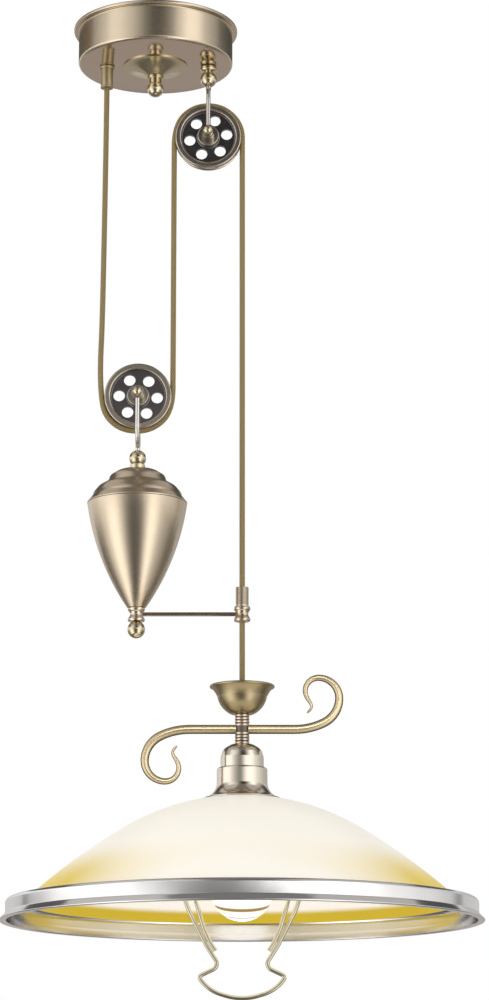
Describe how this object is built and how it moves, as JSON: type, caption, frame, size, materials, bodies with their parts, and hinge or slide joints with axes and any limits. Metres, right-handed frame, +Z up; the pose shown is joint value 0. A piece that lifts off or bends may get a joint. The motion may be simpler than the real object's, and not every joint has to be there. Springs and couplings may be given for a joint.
{
  "type": "rise and fall pendant light",
  "caption": "Rise-and-fall ceiling light: round canopy, two cord pulleys, urn counterweight with a cord guide, S-scroll neck, shallow opal glass shade with a metal rim and a wire pull handle.",
  "frame": {"origin": "canopy axis in the ceiling plane, midway between the bracket's screw slots", "axes": "+Z up into the ceiling, +X from the canopy axis towards the lamp, +Y towards the back as pictured"},
  "size_m": [0.4498, 0.4498, 0.9527],
  "materials": {
    "antique_brass": "brushed antique brass, lacquered",
    "bright_brass": "polished brass, lacquered",
    "satin_nickel": "sheet steel, satin nickel-gold plating",
    "dark_bronze": "cast, dark bronze plating",
    "zinc_steel": "zinc-plated steel",
    "cast_iron": "rough cast",
    "opal_glass": "opal glass, warm white",
    "bulb_glass": "frosted bulb glass",
    "cord_braid": "woven textile braid, bronze",
    "black_phenolic": "moulded phenolic",
    "white_nylon": "moulded nylon",
    "bare_aluminium": "rolled, bare"
  },
  "bodies": {
    "canopy_body": {"canopy": "antique_brass", "ceiling_bracket": "zinc_steel", "bracket_stud": "zinc_steel", "stud_nut": "zinc_steel", "rosette_washer": "antique_brass", "finial_nut": "bright_brass", "cord_gland": "bright_brass", "gland_nut": "zinc_steel", "hanger_ball": "bright_brass", "hanger_nut": "zinc_steel", "terminal_block": "white_nylon", "terminal_screws": "zinc_steel", "canopy_lead": "cord_braid", "upper_axle": "zinc_steel", "upper_axle_spacers": "antique_brass", "upper_axle_caps": "antique_brass", "upper_yoke": "antique_brass", "cord_left": "cord_braid", "cord_middle": "cord_braid", "cord_upper_wrap": "cord_braid", "cord_right": "cord_braid"},
    "upper_pulley_body": {"upper_pulley": "dark_bronze", "upper_pulley_bush": "bright_brass"},
    "counterweight_body": {"lower_axle": "zinc_steel", "lower_axle_spacers": "antique_brass", "lower_axle_caps": "antique_brass", "lower_yoke": "antique_brass", "counterweight_cap": "antique_brass", "counterweight_shell": "antique_brass", "counterweight_core": "cast_iron", "counterweight_ball": "bright_brass", "tie_rod": "zinc_steel", "guide_arm": "bright_brass", "counterweight_collar": "bright_brass", "counterweight_finial": "bright_brass", "guide_sleeve": "bright_brass", "guide_bush": "white_nylon", "cord_lower_wrap": "cord_braid"},
    "lower_pulley_body": {"lower_pulley": "dark_bronze", "lower_pulley_bush": "bright_brass"},
    "lamp_body": {"lamp_cup": "antique_brass", "lamp_neck": "bright_brass", "cord_grip": "bright_brass", "grip_screw": "zinc_steel", "scroll_left": "bright_brass", "scroll_right": "bright_brass", "bell_cap": "satin_nickel", "glass_shade": "opal_glass", "shade_rim": "satin_nickel", "holder_cap": "black_phenolic", "holder_body": "black_phenolic", "holder_contact": "bright_brass", "lamp_lead": "cord_braid", "handle_ring": "satin_nickel", "shade_ring": "black_phenolic", "pull_handle": "satin_nickel", "handle_struts": "satin_nickel", "bulb_globe": "bulb_glass", "bulb_base": "bare_aluminium", "bulb_stem": "bulb_glass"}
  },
  "joints": [
    {"name": "lamp_slide", "type": "slide", "parent": "canopy_body", "child": "lamp_body", "axis": [0, 0, 1], "range_m": [-0.5, 0.036], "deforming": ["cord_right"]},
    {"name": "counterweight_slide", "type": "slide", "parent": "canopy_body", "child": "counterweight_body", "axis": [0, 0, 1], "range_m": [-0.018, 0.25], "deforming": ["cord_left", "cord_middle"]},
    {"name": "upper_pulley_spin", "type": "hinge", "parent": "canopy_body", "child": "upper_pulley_body", "pos_m": [0.0525, 0, -0.1125], "axis": [0, 1, 0], "continuous": true},
    {"name": "lower_pulley_spin", "type": "hinge", "parent": "counterweight_body", "child": "lower_pulley_body", "pos_m": [-0.0145, 0, -0.377], "axis": [0, 1, 0], "continuous": true}
  ],
  "couplings": [
    {"joint": "counterweight_slide", "follows": "lamp_slide", "ratio": -0.5},
    {"joint": "upper_pulley_spin", "follows": "lamp_slide", "rad_per_m": -29.851},
    {"joint": "lower_pulley_spin", "follows": "lamp_slide", "rad_per_m": 14.925}
  ]
}
